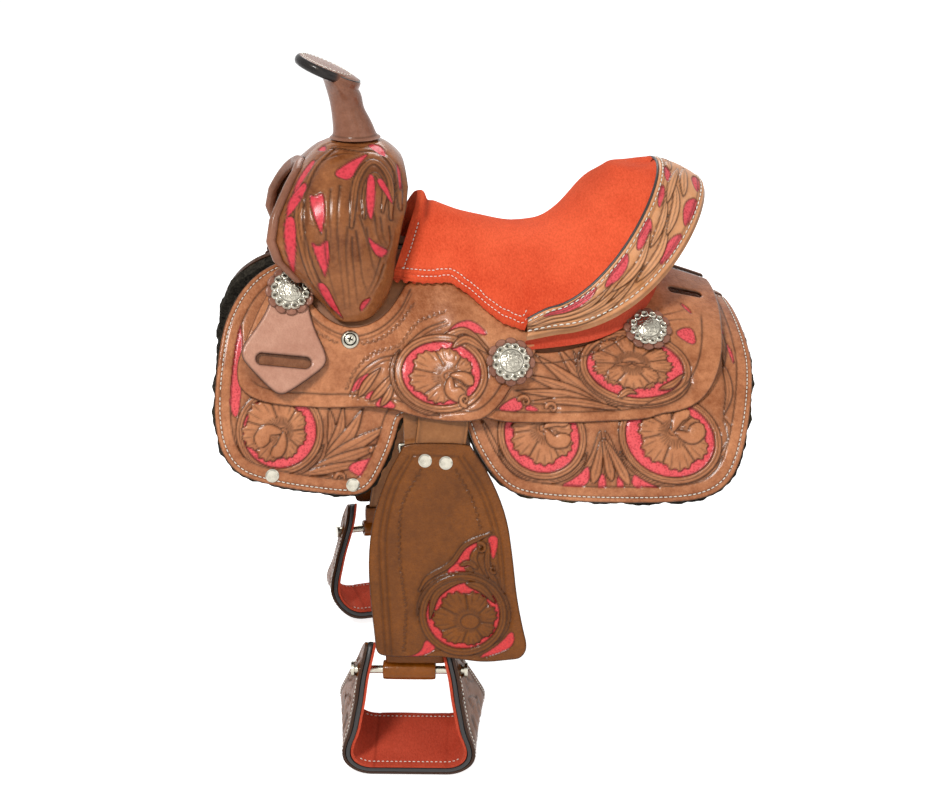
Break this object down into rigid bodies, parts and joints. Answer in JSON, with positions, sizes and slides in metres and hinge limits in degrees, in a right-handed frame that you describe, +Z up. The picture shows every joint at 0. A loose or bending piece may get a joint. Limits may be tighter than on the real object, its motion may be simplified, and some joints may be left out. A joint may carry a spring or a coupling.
{
  "type": "saddle",
  "caption": "Small western saddle with tooled leather, suede seat, horn, fenders and bell stirrups that swing, lift and turn",
  "frame": {"origin": "middle of the channel under the seat, level with the spine line of the skirts", "axes": "-X is the front (horn end), -Y the rider's left side, +Z up"},
  "size_m": [0.526, 0.4228, 0.6725],
  "materials": {
    "tree_wood": "bare wood, hidden under leather",
    "iron": "bare iron, hidden under leather",
    "brown_leather": "tooled chestnut leather, low gloss, dark edges",
    "tan_leather": "plain tan strap leather, matt",
    "red_suede": "napped orange red suede, matt",
    "fleece": "charcoal synthetic fleece, matt",
    "nickel": "nickel plate, polished"
  },
  "bodies": {
    "saddle": {"tree_bar_left": "tree_wood", "tree_bar_right": "tree_wood", "tree_fork": "tree_wood", "tree_cantle": "tree_wood", "ground_seat": "tan_leather", "horn_core": "iron", "horn_wrap": "brown_leather", "horn_cap": "brown_leather", "fork_cover": "brown_leather", "gullet_roll": "brown_leather", "seat_cover": "red_suede", "cantle_back": "red_suede", "cantle_binding": "brown_leather", "skirt_left": "brown_leather", "skirt_right": "brown_leather", "fleece_left": "fleece", "fleece_right": "fleece", "seat_jockey_left": "brown_leather", "seat_jockey_right": "brown_leather", "rear_jockey_left": "brown_leather", "rear_jockey_right": "brown_leather", "rigging_strap_left": "tan_leather", "rigging_strap_right": "tan_leather", "leather_upper_left": "tan_leather", "leather_upper_right": "tan_leather", "conchos": "nickel", "rosettes": "brown_leather", "concho_screws": "nickel", "jockey_screws": "nickel", "finishing_washers": "nickel", "skirt_rivets": "nickel"},
    "leather_left": {"leather_hanger_left": "tan_leather"},
    "fender_left": {"leather_lower_left": "tan_leather", "fender_left": "brown_leather", "fender_rivets_left": "nickel", "hobble_strap_left": "tan_leather"},
    "stirrup_left": {"stirrup_frame_left": "tree_wood", "stirrup_cover_left": "brown_leather", "stirrup_lining_left": "red_suede", "stirrup_bolt_left": "nickel"},
    "dee_left": {"rigging_dee_left": "nickel"},
    "keeper_left": {"latigo_keeper_left": "brown_leather"},
    "leather_right": {"leather_hanger_right": "tan_leather"},
    "fender_right": {"leather_lower_right": "tan_leather", "fender_right": "brown_leather", "fender_rivets_right": "nickel", "hobble_strap_right": "tan_leather"},
    "stirrup_right": {"stirrup_frame_right": "tree_wood", "stirrup_cover_right": "brown_leather", "stirrup_lining_right": "red_suede", "stirrup_bolt_right": "nickel"},
    "dee_right": {"rigging_dee_right": "nickel"},
    "keeper_right": {"latigo_keeper_right": "brown_leather"}
  },
  "joints": [
    {"name": "swing_left", "type": "hinge", "parent": "saddle", "child": "leather_left", "pos_m": [-0.06699, -0.10318, -0.07854], "axis": [-0.1338, -0.9519, 0.2756], "range_deg": [-8, 10]},
    {"name": "lift_left", "type": "hinge", "parent": "leather_left", "child": "fender_left", "pos_m": [-0.0469, -0.12549, -0.14583], "axis": [-0.9903, 0.1392, 0], "range_deg": [0, 50]},
    {"name": "stirrup_left_turn", "type": "hinge", "parent": "fender_left", "child": "stirrup_left", "pos_m": [-0.08606, -0.16702, -0.38734], "axis": [-0.9903, 0.1392, 0], "range_deg": [-6, 40]},
    {"name": "dee_left_swing", "type": "hinge", "parent": "saddle", "child": "dee_left", "pos_m": [-0.07, -0.11967, -0.16722], "axis": [1, 0, 0], "range_deg": [-12, 35]},
    {"name": "keeper_left_turn", "type": "hinge", "parent": "saddle", "child": "keeper_left", "pos_m": [-0.187, -0.06119, -0.02696], "axis": [0, -0.8654, 0.5011], "range_deg": [-10, 10]},
    {"name": "swing_right", "type": "hinge", "parent": "saddle", "child": "leather_right", "pos_m": [-0.06699, 0.10318, -0.07854], "axis": [0.1338, -0.9519, -0.2756], "range_deg": [-8, 10]},
    {"name": "lift_right", "type": "hinge", "parent": "leather_right", "child": "fender_right", "pos_m": [-0.0469, 0.12549, -0.14583], "axis": [0.9903, 0.1392, 0], "range_deg": [0, 50]},
    {"name": "stirrup_right_turn", "type": "hinge", "parent": "fender_right", "child": "stirrup_right", "pos_m": [-0.08606, 0.16702, -0.38734], "axis": [0.9903, 0.1392, 0], "range_deg": [-6, 40]},
    {"name": "dee_right_swing", "type": "hinge", "parent": "saddle", "child": "dee_right", "pos_m": [-0.07, 0.11967, -0.16722], "axis": [-1, 0, 0], "range_deg": [-12, 35]},
    {"name": "keeper_right_turn", "type": "hinge", "parent": "saddle", "child": "keeper_right", "pos_m": [-0.187, 0.06119, -0.02696], "axis": [0, -0.8654, -0.5011], "range_deg": [-10, 10]}
  ]
}
